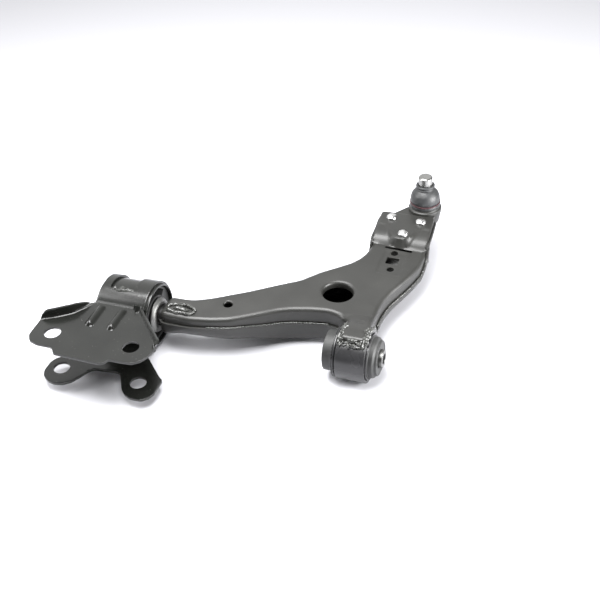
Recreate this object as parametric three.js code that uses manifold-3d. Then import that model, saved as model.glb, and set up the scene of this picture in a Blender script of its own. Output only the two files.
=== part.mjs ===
// Left-hand front lower control arm: two pressed shells welded into a box, a welded front bush
// tube, a rear bush in a clamshell bracket, and a riveted ball joint. Millimetres, +Z up.
// Working frame: X runs forwards along the bush axes, Y outboard to the ball joint, and the
// floor is z = 0. The front bush axis crosses X = 0, Y = 0. The last lines move the finished
// part so that its origin is the middle of the bottom of its box.

import * as THREE from 'three';
import { mergeVertices } from 'three/addons/utils/BufferGeometryUtils.js';
import Module from 'manifold-3d';

const wasm = await Module();
wasm.setup();

// ---- driving dimensions ----
const GAP = 0.3;              // running and contact gap between neighbouring pieces
const SHEET = 3;              // pressed shell thickness
const LAP = 7;                // depth by which the upper shell's wall enters the lower shell
const NECK_Y = [-21, 21];     // sides of the square neck that holds the rear pin

const FRONT = { z: 36, tube: 36, bore: 32, left: -15.5, right: 24.5 };
const NECK_X = [-12, 21];     // sides of the neck that climbs on to the front bush tube
const FRONT_SLEEVE = { outer: 12.3, bore: 7.2, left: -39.5, right: 42.5 };

const REAR = { y: -3, z: 47, strap: 47, inside: 43.5, left: -354, right: -283 };
const PIN = { r: 14.5, left: -349, right: -222 };
const CORE_R = 19;
const PLATE = 3.5;            // bracket sheet thickness
const PLATE_REACH = 33;       // bush axis to the outer face of each bracket plate
const BOLTS = { x: [-381, -265.5], y: -110.5, r: 11.3 };
const WINDOW = { left: -342, right: -302, front: 105, back: 20 };

const BALL = { x: 21, y: 315, z: 63, r: 13 };
const STUD = { r: 10.5, neck: 7.5, top: 124 };
const PAD = { top: 71, inside: 67.5, tray: 62.7, end: 280 };
const FLANGE = { bottom: 63, top: 67 };
const RIVETS = [[-20, 274], [25, 271.5], [7, 236]];
const RIVET = { shank: 4.9, head: 7.8, rise: 5 };

// ---- materials ----
const paint = (color, roughness = 0.42) =>
  new THREE.MeshStandardMaterial({ color, roughness, metalness: 0.1 });
const COAT = () => paint(0x3b3c39);
const BRACKET_COAT = () => paint(0x2e2f2d, 0.32);
const RUBBER = () => new THREE.MeshStandardMaterial({ color: 0x2b2c2b, roughness: 0.8 });
const STEEL = () => new THREE.MeshStandardMaterial({ color: 0xc9c9c6, roughness: 0.25, metalness: 1 });
const NYLON = () => new THREE.MeshStandardMaterial({ color: 0xe6e2d6, roughness: 0.5 });

// ---- solids ----
function solid(geometry) {
  // A closed three.js geometry as a manifold solid.
  geometry.deleteAttribute('normal');
  geometry.deleteAttribute('uv');
  const merged = mergeVertices(geometry, 1e-4);
  const index = merged.index.array;
  return new wasm.Manifold(new wasm.Mesh({
    numProp: 3,
    vertProperties: new Float32Array(merged.attributes.position.array),
    triVerts: new Uint32Array(index),
  }));
}

function joined(...pieces) {
  return pieces.reduce((whole, piece) => whole.add(piece));
}

function cut(piece, ...tools) {
  return tools.reduce((left, tool) => left.subtract(tool), piece);
}

function shapeOf(points, holes = []) {
  const shape = new THREE.Shape(points.map(([a, b]) => new THREE.Vector2(a, b)));
  for (const hole of holes) shape.holes.push(new THREE.Path(hole.map(([a, b]) => new THREE.Vector2(a, b))));
  return shape;
}

function prismZ(points, low, high) {
  // Outline in XY, raised from low to high.
  const geometry = new THREE.ExtrudeGeometry(shapeOf(points), { depth: high - low, bevelEnabled: false });
  geometry.translate(0, 0, low);
  return solid(geometry);
}

function prismX(points, left, right) {
  // Outline in YZ, swept along X.
  const geometry = new THREE.ExtrudeGeometry(shapeOf(points), { depth: right - left, bevelEnabled: false });
  geometry.applyMatrix4(new THREE.Matrix4().set(0, 0, 1, left, 1, 0, 0, 0, 0, 1, 0, 0, 0, 0, 0, 1));
  return solid(geometry);
}

function prismY(points, near, far) {
  // Outline in XZ, swept along Y.
  const flipped = points.map(([x, z]) => [z, x]);
  const geometry = new THREE.ExtrudeGeometry(shapeOf(flipped), { depth: far - near, bevelEnabled: false });
  geometry.applyMatrix4(new THREE.Matrix4().set(0, 1, 0, 0, 0, 0, 1, near, 1, 0, 0, 0, 0, 0, 0, 1));
  return solid(geometry);
}

function turnedZ(profile, x, y, segments = 36) {
  // Profile of [radius, z] turned about a vertical axis.
  const geometry = new THREE.LatheGeometry(profile.map(([r, z]) => new THREE.Vector2(r, z)), segments);
  geometry.rotateX(Math.PI / 2);
  geometry.translate(x, y, 0);
  return outward(solid(geometry));
}

function turnedX(profile, y, z, segments = 36) {
  // Profile of [radius, x] turned about an axis along X.
  const geometry = new THREE.LatheGeometry(profile.map(([r, x]) => new THREE.Vector2(r, x)), segments);
  geometry.rotateZ(-Math.PI / 2);
  geometry.translate(0, y, z);
  return outward(solid(geometry));
}

function outward(piece) {
  // A lathe profile can run either way round; a solid of negative volume is turned inside out.
  if (piece.volume() > 0) return piece;
  const mesh = piece.getMesh();
  const triangles = mesh.triVerts.slice();
  for (let i = 0; i < triangles.length; i += 3) {
    [triangles[i], triangles[i + 1]] = [triangles[i + 1], triangles[i]];
  }
  return new wasm.Manifold(new wasm.Mesh({
    numProp: 3, vertProperties: mesh.vertProperties, triVerts: triangles,
  }));
}

function roundX(radius, left, right, y, z, segments = 36) {
  return turnedX([[0, left], [radius, left], [radius, right], [0, right]], y, z, segments);
}

function roundZ(radius, low, high, x, y, segments = 32) {
  return turnedZ([[0, low], [radius, low], [radius, high], [0, high]], x, y, segments);
}

function tubeX(outer, bore, left, right, y, z, segments = 36) {
  return turnedX([[bore, left], [outer, left], [outer, right], [bore, right], [bore, left]], y, z, segments);
}

function circle(x, y, r, segments = 32) {
  return Array.from({ length: segments }, (_, i) => {
    const angle = (2 * Math.PI * i) / segments;
    return [x + r * Math.cos(angle), y + r * Math.sin(angle)];
  });
}

function arc(y, z, r, from, to, steps) {
  // Points on a circle between two angles in degrees, in order.
  return Array.from({ length: steps + 1 }, (_, i) => {
    const angle = THREE.MathUtils.degToRad(from + ((to - from) * i) / steps);
    return [y + r * Math.cos(angle), z + r * Math.sin(angle)];
  });
}

function hull(points) {
  // Convex outline round a set of points, by the monotone chain method.
  const sorted = [...points].sort((a, b) => a[0] - b[0] || a[1] - b[1]);
  const half = (list) => {
    const chain = [];
    for (const p of list) {
      while (chain.length > 1) {
        const [a, b] = chain.slice(-2);
        if ((b[0] - a[0]) * (p[1] - a[1]) - (b[1] - a[1]) * (p[0] - a[0]) > 1e-6) break;
        chain.pop();
      }
      chain.push(p);
    }
    return chain.slice(0, -1);
  };
  return [...half(sorted), ...half(sorted.reverse())];
}

function offset(points, distance) {
  // Closed counter-clockwise outline moved outwards along its corner normals.
  const count = points.length;
  return points.map(([x, y], i) => {
    const before = points[(i + count - 1) % count];
    const after = points[(i + 1) % count];
    const inEdge = new THREE.Vector2(x - before[0], y - before[1]).normalize();
    const outEdge = new THREE.Vector2(after[0] - x, after[1] - y).normalize();
    const normal = new THREE.Vector2(inEdge.y + outEdge.y, -inEdge.x - outEdge.x).normalize();
    const stretch = distance / Math.max(0.6, normal.x * inEdge.y - normal.y * inEdge.x);
    return [x + normal.x * stretch, y + normal.y * stretch];
  });
}

// Everything below a line of [x, z] points, or of [y, z] points, for the whole part.
const DEEP = -40;
function underX(line, lift = 0) {
  const raised = line.map(([x, z]) => [x, z + lift]);
  return prismY([[raised[0][0], DEEP], ...raised, [raised.at(-1)[0], DEEP]].reverse(), -200, 400);
}

function underY(line, lift = 0) {
  const raised = line.map(([y, z]) => [y, z + lift]);
  return prismX([[raised[0][0], DEEP], ...raised, [raised.at(-1)[0], DEEP]].reverse(), -400, 200);
}

const arm = new THREE.Group();

function add(name, piece, material) {
  const mesh = piece.getMesh();
  const geometry = new THREE.BufferGeometry();
  geometry.setAttribute('position', new THREE.BufferAttribute(mesh.vertProperties, 3));
  geometry.setIndex(new THREE.BufferAttribute(mesh.triVerts, 1));
  geometry.computeVertexNormals();
  const node = new THREE.Mesh(geometry, material);
  node.name = name;
  arm.add(node);
}

// ---- arm outline, seen from above, at the upper shell's wall ----
function armOutline() {
  const path = new THREE.Shape();
  const spline = (...points) => path.splineThru(points.map(([x, y]) => new THREE.Vector2(x, y)));
  path.moveTo(-271, NECK_Y[0]);
  path.lineTo(-226, NECK_Y[0]);
  spline(
    [-198, -15], [-172, -6], [-137, 17], [-118, 31], [-100, 40], [-75, 47.5], [-49, 53], [-31, 49], [-17, 38],
  );
  path.lineTo(NECK_X[0], 28);
  path.lineTo(NECK_X[0], -16);
  path.lineTo(NECK_X[1], -16);
  path.lineTo(NECK_X[1], 14);
  spline([17.5, 40], [15, 60], [14.5, 78], [16, 94], [21, 115], [29.5, 137], [38, 161], [45, 188], [46, 212]);
  path.lineTo(44.5, 250);
  path.lineTo(42, 286);
  path.lineTo(-39, 286);
  path.lineTo(-36.5, 250);
  spline(
    [-36, 214], [-38, 200], [-43, 184], [-54, 167], [-89, 134], [-110, 108], [-134, 91], [-169, 64], [-193, 48],
  );
  spline([-215, 33], [-235, 23]);
  path.lineTo(-248, NECK_Y[1]);
  path.lineTo(-271, NECK_Y[1]);
  const points = path.getPoints(2).map((p) => [p.x, p.y]);
  return points.filter(([x, y], i) => {
    const [a, b] = points[(i + points.length - 1) % points.length];
    return Math.hypot(x - a, y - b) > 0.5;
  });
}

const WALL = armOutline();
const LOWER_WALL = offset(WALL, SHEET + GAP);
const TOP_X = [[-300, 66.5], [-215, 64], [60, 54]];
const PAD_TOP = [[221, -30], [221, 54.5], [222, 58], [224.5, 66], [227, 69.6], [230, PAD.top], [300, PAD.top]];
const PAD_INSIDE = [[224, -30], [224, 51.5], [226, 60], [228, 66], [229.4, PAD.inside], [300, PAD.inside]];
const SEAM_X = [[-300, 49], [-215, 45], [-120, 39], [60, 36]];
const SEAM_Y = [[150, 20], [190, 37], [214, 45], [227, 64], [300, 64.5]];
const LAP_Y = [[150, 13], [190, 30], [214, 38], [224, 50], [227, 63], [300, 63]];
const BOTTOM_X = [[-300, 29], [-225, 26], [-170, 14], [-60, 12], [20, 18], [60, 20]];
const BOTTOM_Y = [[150, -20], [190, 18], [218, 27], [227, 42], [229.4, 59.7], [300, 59.7]];
const FLOOR_Y = [[150, -17], [190, 21], [218, 30], [224.5, 45], [227.3, PAD.tray], [300, PAD.tray]];
const SADDLE = [[58, 56], [34, 66], [14, 73], [2, 75.5], [-16, 75.5]];
const BIG_HOLE = { x: -50, y: 96, r: 21.5 };
const REAR_HOLE = { x: -186, y: 25, r: 7.5 };
const PIN_SLOT = { x: [-256, -230], y: -5, r: 6 };

const tubeClearance = roundX(FRONT.tube + GAP, -60, 60, 0, FRONT.z, 48);
const pinClearance = roundX(PIN.r + GAP, -300, PIN.right + 1, REAR.y, REAR.z);
const padEnd = [[-60, PAD.end], [60, PAD.end], [60, 300], [-60, 300]];
const housingClearance = roundZ(25.2, 30, 80, BALL.x, BALL.y, 36);
const rivetHoles = RIVETS.map(([x, y]) => roundZ(RIVET.shank + GAP, 40, 80, x, y, 20));

function saddle(lift) {
  // Neck of the upper shell, which climbs on to the front bush tube.
  const raised = SADDLE.map(([y, z]) => [y, z + lift]);
  return prismX([[SADDLE[0][0], 30], ...raised, [SADDLE.at(-1)[0], 30]].reverse(), ...NECK_X);
}

function upperShell() {
  const top = joined(underX(TOP_X), underY(PAD_TOP), saddle(0));
  const inside = joined(underX(TOP_X, -SHEET), underY(PAD_INSIDE), saddle(-SHEET));
  const below = joined(underX(SEAM_X, -LAP), underY(LAP_Y));
  const lip = roundZ(BIG_HOLE.r + SHEET, 48, 58.5, BIG_HOLE.x, BIG_HOLE.y, 40);
  let shell = cut(prismZ(WALL, 0, 90).intersect(top), below);
  shell = cut(shell, prismZ(offset(WALL, -SHEET), 0, 90).intersect(inside));
  shell = cut(joined(shell, lip), roundZ(BIG_HOLE.r, 30, 80, BIG_HOLE.x, BIG_HOLE.y, 40));
  const slot = hull([...circle(-13, 219, 1.8, 12), ...circle(23.5, 217.8, 1.8, 12)]);
  const pinSlot = hull(PIN_SLOT.x.flatMap((x) => circle(x, PIN_SLOT.y, PIN_SLOT.r, 20)));
  return cut(
    shell,
    roundZ(REAR_HOLE.r, 40, 80, REAR_HOLE.x, REAR_HOLE.y),
    prismZ(slot, 40, 80),
    roundZ(5.6, 40, 80, 1.8, 206.5, 20),
    roundZ(5.6, 40, 80, 5.8, 167.5, 20),
    prismZ([[-5.6, 180], [12.4, 180], [12.4, 195.5], [-5.6, 195.5]], 40, 80),
    prismZ(pinSlot, REAR.z + 5, 80),
    prismZ(padEnd, 40, PAD.inside),
    tubeClearance, pinClearance, housingClearance, ...rivetHoles,
  );
}

function lowerShell() {
  const seam = joined(underX(SEAM_X), underY(SEAM_Y));
  const below = joined(underX(BOTTOM_X), underY(BOTTOM_Y));
  const floor = joined(underX(BOTTOM_X, SHEET), underY(FLOOR_Y));
  const shell = cut(prismZ(LOWER_WALL, 0, 90).intersect(seam), below);
  const inside = cut(prismZ(offset(LOWER_WALL, -SHEET), 0, 90), floor);
  const drain = roundZ(6, 0, 40, -95, 80);
  const flangeWay = prismZ(padEnd, PAD.tray, 80);
  return cut(shell, inside, drain, flangeWay, tubeClearance, pinClearance, housingClearance, ...rivetHoles);
}

function seamWeld(box) {
  // Bead on the lower shell's rim against the upper shell's wall, within a box in plan.
  const band = cut(prismZ(offset(WALL, SHEET + GAP), 0, 90), prismZ(offset(WALL, GAP), 0, 90));
  const above = joined(underX(SEAM_X, 2.6), underY(SEAM_Y, 2.6));
  const below = joined(underX(SEAM_X, GAP), underY(SEAM_Y, GAP));
  return cut(band.intersect(above), below).intersect(prismZ(box, 0, 90));
}

add('upper_shell', upperShell(), COAT());
add('lower_shell', lowerShell(), COAT());
add('seam_weld_front', seamWeld([[-205, -40], [-45, -40], [-45, 65], [-205, 20]]), COAT());
add('seam_weld_outer', seamWeld([[0, 62], [70, 62], [70, 205], [0, 205]]), COAT());
add('seam_weld_rear', seamWeld([[-205, 25], [-150, 60], [-55, 130], [-55, 200], [-205, 200]]), COAT());

// ---- front bush: welded tube, pressed sleeve, bonded rubber and bolt sleeve ----
add('front_bush_tube', tubeX(FRONT.tube, FRONT.bore, FRONT.left, FRONT.right, 0, FRONT.z, 48), COAT());
const sleeveWall = FRONT.bore - GAP;
add('front_bush_outer_sleeve', turnedX([
  [29.7, -21.5], [34.5, -21.5], [34.5, FRONT.left - 2 - GAP], [sleeveWall, FRONT.left - GAP],
  [sleeveWall, FRONT.right + 2], [29.7, FRONT.right + 2], [29.7, -21.5],
], 0, FRONT.z), COAT());
add('front_bush_rubber', turnedX([
  [12.6, -35], [24, -36.5], [27.6, -35], [27.6, -22], [29.4, -20.6], [29.4, 26.7], [27.4, 27], [27.4, 33],
  [25, 34.5], [24, 38.5], [12.6, 38.5], [12.6, -35],
], 0, FRONT.z), RUBBER());
add('front_bush_inner_sleeve', tubeX(
  FRONT_SLEEVE.outer, FRONT_SLEEVE.bore, FRONT_SLEEVE.left, FRONT_SLEEVE.right, 0, FRONT.z,
), STEEL());

const BEAD = 1.5;             // radius of the beads beside the neck
function tubeBead(x, from, to) {
  // Weld bead that follows the tube's skin beside the neck.
  const points = arc(0, FRONT.z, FRONT.tube + GAP + BEAD, from, to, 10);
  const path = new THREE.CatmullRomCurve3(points.map(([y, z]) => new THREE.Vector3(x, y, z)));
  const section = shapeOf(circle(0, 0, BEAD, 8));
  return solid(new THREE.ExtrudeGeometry(section, { steps: 10, bevelEnabled: false, extrudePath: path }));
}
add('tube_weld_left', tubeBead(NECK_X[0] - GAP - BEAD, 35, 118), COAT());
add('tube_weld_right', tubeBead(NECK_X[1] + GAP + BEAD, 35, 118), COAT());
add('tube_weld_top', prismX(
  circle(-18.2, FRONT.z + Math.sqrt((FRONT.tube + GAP + 1.9) ** 2 - 18.2 ** 2), 1.8, 10),
  NECK_X[0] + 2, NECK_X[1] - 2,
), COAT());

// ---- rear pin, bush and its two-part bracket ----
add('rear_pin', turnedX([
  [0, PIN.left], [PIN.r - 2, PIN.left], [PIN.r, PIN.left + 2], [PIN.r, PIN.right], [0, PIN.right],
], REAR.y, REAR.z), COAT());
const slotBead = hull(PIN_SLOT.x.flatMap((x) => circle(x, PIN_SLOT.y, PIN_SLOT.r - GAP, 20)));
const slotPool = hull(PIN_SLOT.x.flatMap((x) => circle(x, PIN_SLOT.y, PIN_SLOT.r - 3.2, 20)));
add('pin_weld', cut(
  prismZ(slotBead, 55, 66.5), prismZ(slotPool, 64, 80), pinClearance,
), COAT());

add('rear_bush_outer_sleeve', tubeX(
  REAR.inside - GAP, 40.8, REAR.left - 3, REAR.right + 4, REAR.y, REAR.z, 48,
), BRACKET_COAT());
function rubberVoid(from, to) {
  // Kidney slot right through the rubber, between two radii.
  const outline = [...arc(REAR.y, REAR.z, 36.5, from, to, 10), ...arc(REAR.y, REAR.z, 27, to, from, 10)];
  return prismX(outline, -400, -200);
}
add('rear_bush_rubber', cut(
  tubeX(40.5, CORE_R + GAP, REAR.left + 2, REAR.right - 1, REAR.y, REAR.z, 48),
  rubberVoid(35, 145), rubberVoid(215, 325),
), RUBBER());
add('rear_bush_core', tubeX(CORE_R, PIN.r + GAP, REAR.left + 1, -275, REAR.y, REAR.z), STEEL());

function windowCut() {
  const sector = [...arc(REAR.y, REAR.z, 60, WINDOW.back, WINDOW.front, 12), [REAR.y, REAR.z]];
  return cut(prismX(sector, WINDOW.left, WINDOW.right), roundX(30, -400, -200, REAR.y, REAR.z));
}

function strap(from, to) {
  const outline = [
    ...arc(REAR.y, REAR.z, REAR.strap, from, to, 24), ...arc(REAR.y, REAR.z, REAR.inside, to, from, 24),
  ];
  return prismX(outline, REAR.left, REAR.right);
}

function wallAlong(line, low, high, thickness = PLATE) {
  // Upright wall that follows a line of [x, y] points, to its right-hand side.
  const side = line.map(([x, y], i) => {
    const a = line[Math.max(0, i - 1)];
    const b = line[Math.min(line.length - 1, i + 1)];
    const run = new THREE.Vector2(b[0] - a[0], b[1] - a[1]).normalize();
    return [x + run.y * thickness, y - run.x * thickness];
  });
  return prismZ([...line, ...side.reverse()].reverse(), low, high);
}

const clampBore = roundX(REAR.inside, -400, -200, REAR.y, REAR.z, 48);
const boltHoles = BOLTS.x.map((x) => roundZ(BOLTS.r, -10, 120, x, BOLTS.y, 40));
const UPPER_FACE = REAR.z + PLATE_REACH;
const LOWER_FACE = REAR.z - PLATE_REACH;
const UPPER_OUTLINE = [
  [-354, -30], [-355, -43], [-362, -58], [-380, -76], [-404, -89], [-409, -94], [-409.5, -122], [-401, -132],
  [-391, -137], [-371, -137], [-365, -140], [-360, -148], [-291, -150.5], [-286, -147], [-283, -140],
  [-266, -140], [-251, -139], [-242, -132], [-238, -122], [-239, -108], [-242, -95], [-286, -50], [-283, -30],
];
const LOWER_OUTLINE = [
  [-354, -30], [-354, -60], [-386, -86], [-398, -95], [-402, -104], [-402, -121], [-398, -131], [-388, -139],
  [-377, -142], [-364, -139], [-355, -132], [-348, -119], [-342, -106], [-335, -101], [-302, -98.5],
  [-296, -103], [-282, -128], [-274, -136], [-264, -141], [-248, -141], [-240, -134], [-236, -124],
  [-236, -98], [-243, -93], [-283, -52], [-283, -30],
];

function bracketUpper() {
  const plate = prismZ(UPPER_OUTLINE, UPPER_FACE - PLATE, UPPER_FACE);
  const backLine = [[-404, -89], [-380, -76], [-362, -58], [-355, -43]];
  const backFlange = wallAlong(backLine, UPPER_FACE - PLATE, UPPER_FACE + 13);
  const slope = prismY([[-420, 70], [-350, 70], [-350, 100], [-378, 94], [-404, 84], [-420, 84]].reverse(), -120, 0);
  const sideFlange = wallAlong([[-284.5, -50], [-243, -94]], UPPER_FACE - PLATE, UPPER_FACE + 7);
  const ribs = [-341, -309].map((x) => {
    const ridge = roundZ(4.6, 0, 44, 0, 0, 16).rotate([90, 0, 0]).translate([x, -42, UPPER_FACE - 0.6]);
    return cut(ridge, prismZ([[x - 9, -95], [x + 9, -95], [x + 9, -20], [x - 9, -20]], 60, UPPER_FACE - 1));
  });
  const sheet = joined(plate, backFlange.intersect(slope), sideFlange, strap(2, 138), ...ribs);
  return cut(sheet, clampBore, windowCut(), ...boltHoles);
}

function bracketLower() {
  const plate = prismZ(LOWER_OUTLINE, LOWER_FACE, LOWER_FACE + PLATE);
  return cut(joined(plate, strap(222, 358)), clampBore, ...boltHoles);
}

add('bracket_upper', bracketUpper(), BRACKET_COAT());
add('bracket_lower', bracketLower(), BRACKET_COAT());
add('bracket_back_weld', prismX([
  ...arc(REAR.y, REAR.z, REAR.strap, -1.5, 1.5, 2), ...arc(REAR.y, REAR.z, REAR.inside, 1.5, -1.5, 2),
], REAR.left + 4, REAR.right - 4), BRACKET_COAT());
add('sleeve_weld', prismX([
  ...arc(REAR.y, REAR.z, 46, 100.5, 104.5, 2), ...arc(REAR.y, REAR.z, REAR.inside, 104.5, 99.5, 2),
], WINDOW.left + 3, WINDOW.right - 3), BRACKET_COAT());

// ---- ball joint ----
const NOSE_R = 6.4;           // narrow end of the flange, inside the pad's step
function ballHousing() {
  const plan = hull([
    ...RIVETS.flatMap(([x, y]) => circle(x, y, y < 250 ? NOSE_R : 12, 20)),
    ...circle(BALL.x, BALL.y, 20, 36),
  ]);
  const cup = turnedZ([
    [18.4, 46], [19.4, 46], [21.5, 50], [23, 58], [24.6, 66], [24.6, 72], [22.3, 73.4], [22.3, 75.5],
    [15.4, 75.5], [13.8, 69.4], [18.4, 66.4], [18.4, 46],
  ], BALL.x, BALL.y, 36);
  const bore = roundZ(20, 40, 80, BALL.x, BALL.y, 36);
  const flange = cut(prismZ(plan, FLANGE.bottom, FLANGE.top), bore, ...rivetHoles);
  return joined(cup, flange);
}
add('ball_joint_housing', ballHousing(), COAT());
add('ball_joint_cap', roundZ(18.1, 46.4, 49.2, BALL.x, BALL.y, 36), STEEL());

function ballSeat() {
  // Cup of the same centre as the ball, open at the top for the stud's neck and below for grease.
  const r = BALL.r + GAP;
  const inner = arc(0, BALL.z, r, 24.4, -75, 8);
  return turnedZ([[18.1, 49.5], [18.1, 66.3], [inner[0][0] + 1.6, inner[0][1]], ...inner, [18.1, 49.5]],
    BALL.x, BALL.y, 36);
}
add('ball_seat', ballSeat(), NYLON());

const ballProfile = arc(0, BALL.z, BALL.r, -90, 55, 9);
add('ball_stud', turnedZ([
  ...ballProfile, [STUD.neck, 76], [8.3, 80], [STUD.r, 88], [STUD.r, STUD.top - 1.2],
  [STUD.r - 1.2, STUD.top], [0, STUD.top],
], BALL.x, BALL.y, 36), STEEL());

add('boot', turnedZ([
  [16.4, 75.8], [21.3, 75.8], [21.3, 79.3], [20.2, 80.4], [21.6, 86], [21.5, 91], [19.6, 96.5], [15.6, 101],
  [12.6, 103], [12.4, 104], [11, 104], [11, 102.6], [14.4, 99.6], [17.8, 95.4], [19.4, 91], [19.5, 86],
  [18, 80.4], [16.4, 78.2], [16.4, 75.8],
], BALL.x, BALL.y, 36), RUBBER());
add('boot_lower_ring', turnedZ([
  [21.6, 76.2], [22.6, 76.2], [22.6, 79], [21.6, 79], [21.6, 76.2],
], BALL.x, BALL.y, 36), paint(0x5a2228, 0.6));
add('boot_upper_ring', turnedZ([
  [STUD.r + GAP, 104.3], [13.2, 104.3], [13.4, 106], [12.9, 108], [STUD.r + GAP, 108], [STUD.r + GAP, 104.3],
], BALL.x, BALL.y, 36), RUBBER());

RIVETS.forEach(([x, y], i) => {
  const low = 59.7 - GAP;
  const high = PAD.top + GAP;
  const head = arc(0, 0, 1, 0, 90, 4).map(([c, s]) => [RIVET.head * c, high + RIVET.rise * s]);
  add(`rivet_${i + 1}`, turnedZ([
    [0, low - 4], [4.8, low - 4], [6.4, low - 1.5], [6.4, low], [RIVET.shank, low], [RIVET.shank, high],
    ...head.slice(0, -1), [0, high + RIVET.rise],
  ], x, y, 20), STEEL());
});

// Origin at the middle of the bottom of the whole part's box.
const box = new THREE.Box3().setFromObject(arm);
const middle = box.getCenter(new THREE.Vector3());
arm.position.set(-middle.x, -middle.y, -box.min.z);

export default arm;
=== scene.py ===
# Front lower control arm of a car. Two pressed steel shells are welded into a hollow arm and dipped
# in black paint. It turns on a rubber bush in a welded tube at the front and on a bush in a clamp
# bracket at the rear, and carries the wheel on a riveted ball joint under a rubber boot.

import bmesh
import bpy
import numpy as np
from mathutils import Matrix, Vector, geometry


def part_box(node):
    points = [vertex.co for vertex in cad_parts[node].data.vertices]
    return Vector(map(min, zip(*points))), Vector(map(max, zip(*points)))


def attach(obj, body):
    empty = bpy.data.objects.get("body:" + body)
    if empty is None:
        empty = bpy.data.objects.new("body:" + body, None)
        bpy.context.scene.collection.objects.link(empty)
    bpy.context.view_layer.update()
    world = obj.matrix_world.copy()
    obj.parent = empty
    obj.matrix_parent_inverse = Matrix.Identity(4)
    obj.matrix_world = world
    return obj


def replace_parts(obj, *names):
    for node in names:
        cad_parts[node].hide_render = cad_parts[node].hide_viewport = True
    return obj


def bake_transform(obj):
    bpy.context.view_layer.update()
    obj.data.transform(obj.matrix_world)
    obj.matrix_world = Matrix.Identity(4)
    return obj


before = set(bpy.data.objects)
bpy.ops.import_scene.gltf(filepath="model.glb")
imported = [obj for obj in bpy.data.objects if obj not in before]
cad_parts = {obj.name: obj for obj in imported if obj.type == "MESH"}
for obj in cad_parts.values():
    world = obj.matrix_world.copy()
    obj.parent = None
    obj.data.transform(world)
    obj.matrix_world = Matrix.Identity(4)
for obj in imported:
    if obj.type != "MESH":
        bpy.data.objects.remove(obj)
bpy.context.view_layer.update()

# ---- place of the part ----
# Every shape below is worked out in millimetres from the front bush: x forwards along the bush
# axes, y outboard to the ball joint, z up from the floor that the arm lies on.
TUBE = {"y": 0, "z": 36, "r": 36, "bore": 32, "left": -15.5, "right": 24.5}
tube_low, tube_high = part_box("front_bush_tube")
BUSH = np.array([tube_high.x - TUBE["right"] * 0.001, (tube_low.y + tube_high.y) / 2, 0.0])


def in_frame(points):
    """Millimetres from the front bush, as metres in the part's own frame."""
    return np.asarray(points, float) * 0.001 + BUSH


# ---- floor, light and camera ----
# A seamless white studio table with one soft box overhead and one at each side, in a room that is
# brightest behind the arm. The arm lies flat and is seen from nearly half-way up to overhead.
def lamp(name, place, aim, width, height, power):
    """A rectangular soft box at place, facing aim, both in millimetres from the front bush."""
    light = bpy.data.lights.new(name, "AREA")
    light.shape = "RECTANGLE"
    light.size = width
    light.size_y = height
    light.energy = power
    stand = bpy.data.objects.new(name, light)
    stand.location = in_frame(place)
    facing = Vector(in_frame(aim)) - stand.location
    stand.rotation_euler = facing.to_track_quat("-Z", "Y").to_euler()
    bpy.context.scene.collection.objects.link(stand)


lamp("overhead_box", (-250, -60, 1250), (-180, 0, 0), 1.1, 0.7, 44)
lamp("left_box", (-1250, -250, 800), (-200, 0, 30), 0.5, 1.0, 14)
lamp("right_box", (1000, 40, 330), (0, 100, 30), 0.7, 0.6, 36)

world = bpy.data.worlds.new("studio")
world.use_nodes = True
sky_nodes, sky_links = world.node_tree.nodes, world.node_tree.links
BRIGHT_SIDE = (-0.5, 0.65, 0.45)
direction = sky_nodes.new("ShaderNodeTexCoord")
lean = sky_nodes.new("ShaderNodeVectorMath")
lean.operation = "DOT_PRODUCT"
lean.inputs[1].default_value = BRIGHT_SIDE
sky_links.new(direction.outputs["Generated"], lean.inputs[0])
strength = sky_nodes.new("ShaderNodeMapRange")
for limit, value in {"From Min": 0.1, "From Max": 0.95, "To Min": 0.10, "To Max": 1.3}.items():
    strength.inputs[limit].default_value = value
sky_links.new(lean.outputs["Value"], strength.inputs["Value"])
sky_links.new(strength.outputs["Result"], sky_nodes["Background"].inputs["Strength"])
sky_nodes["Background"].inputs["Color"].default_value = (1.0, 1.0, 1.0, 1.0)
bpy.context.scene.world = world
bpy.context.scene.view_settings.view_transform = "Standard"

FLOOR_HALF = 6.0
floor_mesh = bpy.data.meshes.new("floor")
floor_mesh.from_pydata(
    [(-FLOOR_HALF, -FLOOR_HALF, 0), (FLOOR_HALF, -FLOOR_HALF, 0),
     (FLOOR_HALF, FLOOR_HALF, 0), (-FLOOR_HALF, FLOOR_HALF, 0)], [], [(0, 1, 2, 3)])
floor = bpy.data.objects.new("floor", floor_mesh)
bpy.context.scene.collection.objects.link(floor)
floor_finish = bpy.data.materials.new("studio_table")
floor_finish.use_nodes = True
floor_shader = floor_finish.node_tree.nodes["Principled BSDF"]
floor_shader.inputs["Base Color"].default_value = (0.56, 0.56, 0.588, 1.0)
floor_shader.inputs["Roughness"].default_value = 0.6
floor.data.materials.append(floor_finish)

CAMERA = {"target": (-122.2, 133.7, 0), "distance": 1545, "azimuth": 21.5, "elevation": 38,
          "roll": 4.25}
az, el = np.radians([CAMERA["azimuth"], CAMERA["elevation"]])
back = Vector((np.sin(az) * np.cos(el), -np.cos(az) * np.cos(el), np.sin(el)))
lens = bpy.data.cameras.new("camera")
lens.lens = 63
lens.sensor_width = 36
camera = bpy.data.objects.new("camera", lens)
camera.location = Vector(in_frame(CAMERA["target"])) + back * CAMERA["distance"] * 0.001
camera.rotation_mode = "QUATERNION"
level = (-back).to_track_quat("-Z", "Y")
tilt = Matrix.Rotation(-np.radians(CAMERA["roll"]), 3, "Z").to_quaternion()
camera.rotation_quaternion = level @ tilt
bpy.context.scene.collection.objects.link(camera)
bpy.context.scene.camera = camera


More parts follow.
